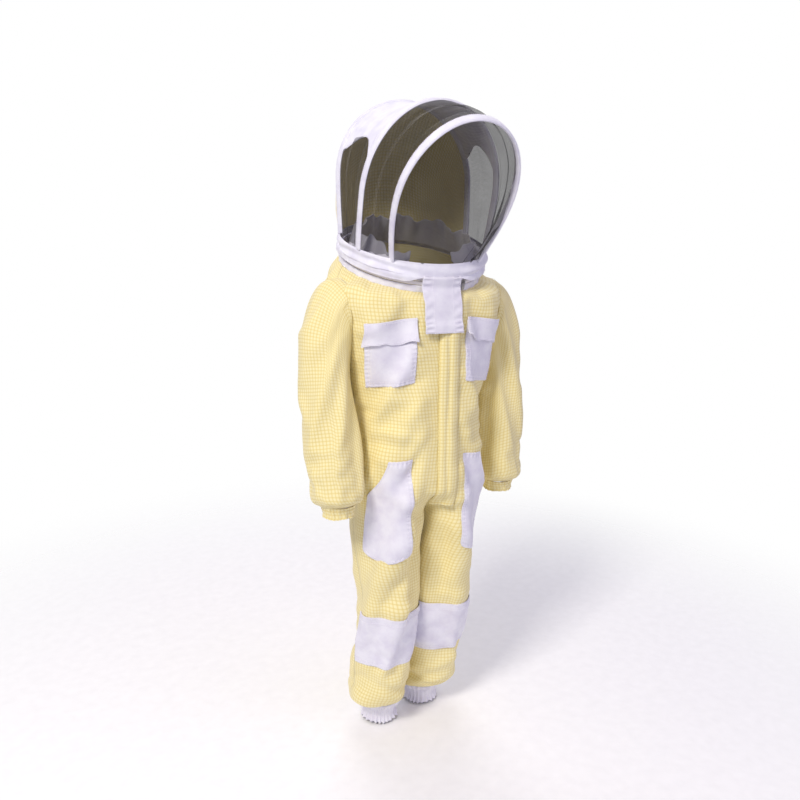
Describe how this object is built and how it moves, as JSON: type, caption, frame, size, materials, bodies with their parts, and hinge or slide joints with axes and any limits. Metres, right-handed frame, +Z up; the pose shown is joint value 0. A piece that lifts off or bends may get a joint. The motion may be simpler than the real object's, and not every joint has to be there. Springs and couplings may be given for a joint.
{
  "type": "beekeeping suit",
  "caption": "Child's ventilated beekeeping coverall with zip-on fencing hood, veil windows, patch pockets, knee patches and gathered cuffs.",
  "frame": {"origin": "on the wearer's neck line, midway between the shoulders that carry the suit", "axes": "+Z up, the wearer faces -Y, the wearer's left is +X"},
  "size_m": [0.4842, 0.3972, 1.2707],
  "materials": {
    "ventilated_cloth": "matt, three layers, small check",
    "white_cotton": "matt poly-cotton twill",
    "veil_net": "open black net, see-through",
    "zip_tape": "woven tape with moulded teeth",
    "nickel": "nickel-plated die-casting",
    "spring_steel": "flat spring wire",
    "elastic": "woven elastic tape"
  },
  "bodies": {
    "coverall": {"front_panel_right": "ventilated_cloth", "front_panel_left": "ventilated_cloth", "back_bodice": "ventilated_cloth", "back_waistband": "ventilated_cloth", "waist_elastic": "elastic", "back_leg_right": "ventilated_cloth", "back_leg_left": "ventilated_cloth", "ankle_cuff_right": "white_cotton", "ankle_cuff_left": "white_cotton", "ankle_elastic_right": "elastic", "ankle_elastic_left": "elastic", "knee_patch_right": "white_cotton", "knee_patch_left": "white_cotton", "chest_pocket_right": "white_cotton", "chest_pocket_left": "white_cotton", "hip_pocket_right": "white_cotton", "hip_pocket_left": "white_cotton", "front_zip_right": "zip_tape", "front_zip_left": "zip_tape", "zip_fly": "ventilated_cloth", "neck_facing": "white_cotton", "neck_zip_lower": "zip_tape", "inner_collar": "white_cotton"},
    "hood": {"hood_band": "white_cotton", "neck_zip_upper": "zip_tape", "rear_hoop_casing": "white_cotton", "rear_hoop_wire": "spring_steel", "middle_hoop_casing": "white_cotton", "middle_hoop_wire": "spring_steel", "front_hoop_casing": "white_cotton", "front_hoop_wire": "spring_steel", "hood_crown": "white_cotton", "side_veil_right": "veil_net", "side_veil_left": "veil_net", "middle_veil": "veil_net", "face_veil": "veil_net", "hood_back_panel": "ventilated_cloth"},
    "neck_flap": {"neck_flap": "white_cotton"},
    "sleeve_right": {"sleeve_right": "ventilated_cloth", "sleeve_cuff_right": "ventilated_cloth", "wrist_elastic_right": "elastic"},
    "sleeve_left": {"sleeve_left": "ventilated_cloth", "sleeve_cuff_left": "ventilated_cloth", "wrist_elastic_left": "elastic"},
    "chest_flap_right": {"chest_flap_right": "white_cotton"},
    "chest_flap_left": {"chest_flap_left": "white_cotton"},
    "front_zip_slider": {"front_zip_slider": "nickel"},
    "front_zip_pull": {"front_zip_pull": "nickel"},
    "neck_slider_right": {"neck_slider_right": "nickel"},
    "neck_slider_left": {"neck_slider_left": "nickel"},
    "neck_pull_right": {"neck_pull_right": "nickel"},
    "neck_pull_left": {"neck_pull_left": "nickel"}
  },
  "joints": [
    {"name": "hood_tip", "type": "hinge", "parent": "coverall", "child": "hood", "pos_m": [0, 0.14645, 0.07249], "axis": [-1, 0, 0], "range_deg": [0, 140]},
    {"name": "neck_flap_lift", "type": "hinge", "parent": "hood", "child": "neck_flap", "pos_m": [0, -0.12396, 0.00237], "axis": [-1, 0, 0], "range_deg": [0, 130]},
    {"name": "sleeve_raise_right", "type": "hinge", "parent": "coverall", "child": "sleeve_right", "pos_m": [-0.152, -0.005, 0.006], "axis": [0, 1, 0], "range_deg": [0, 60]},
    {"name": "sleeve_raise_left", "type": "hinge", "parent": "coverall", "child": "sleeve_left", "pos_m": [0.152, -0.005, 0.006], "axis": [0, -1, 0], "range_deg": [0, 60]},
    {"name": "chest_flap_lift_right", "type": "hinge", "parent": "coverall", "child": "chest_flap_right", "pos_m": [-0.1174, -0.11257, -0.07819], "axis": [-0.9036, 0.4108, -0.1212], "range_deg": [0, 140]},
    {"name": "chest_flap_lift_left", "type": "hinge", "parent": "coverall", "child": "chest_flap_left", "pos_m": [0.1174, -0.11257, -0.07819], "axis": [-0.9036, -0.4108, 0.1212], "range_deg": [0, 140]},
    {"name": "front_zip_run", "type": "slide", "parent": "coverall", "child": "front_zip_slider", "axis": [0, -0.0549, -0.9985], "range_m": [0, 0.33]},
    {"name": "front_pull_swing", "type": "hinge", "parent": "front_zip_slider", "child": "front_zip_pull", "pos_m": [0.015, -0.12685, -0.055], "axis": [-1, 0, 0], "range_deg": [0, 8]},
    {"name": "neck_zip_run_right", "type": "hinge", "parent": "coverall", "child": "neck_slider_right", "pos_m": [0, 0.014, 0.032], "axis": [0, 0.2924, -0.9563], "range_deg": [0, 150]},
    {"name": "neck_zip_run_left", "type": "hinge", "parent": "coverall", "child": "neck_slider_left", "pos_m": [0, 0.014, 0.032], "axis": [0, -0.2924, 0.9563], "range_deg": [0, 138]},
    {"name": "neck_pull_swing_right", "type": "hinge", "parent": "neck_slider_right", "child": "neck_pull_right", "pos_m": [-0.01718, -0.11896, -0.01179], "axis": [-0.9925, 0.1165, 0.0356], "range_deg": [0, 20]},
    {"name": "neck_pull_swing_left", "type": "hinge", "parent": "neck_slider_left", "child": "neck_pull_left", "pos_m": [0.05053, -0.11101, -0.00936], "axis": [-0.9336, -0.3427, -0.1048], "range_deg": [0, 140]}
  ]
}
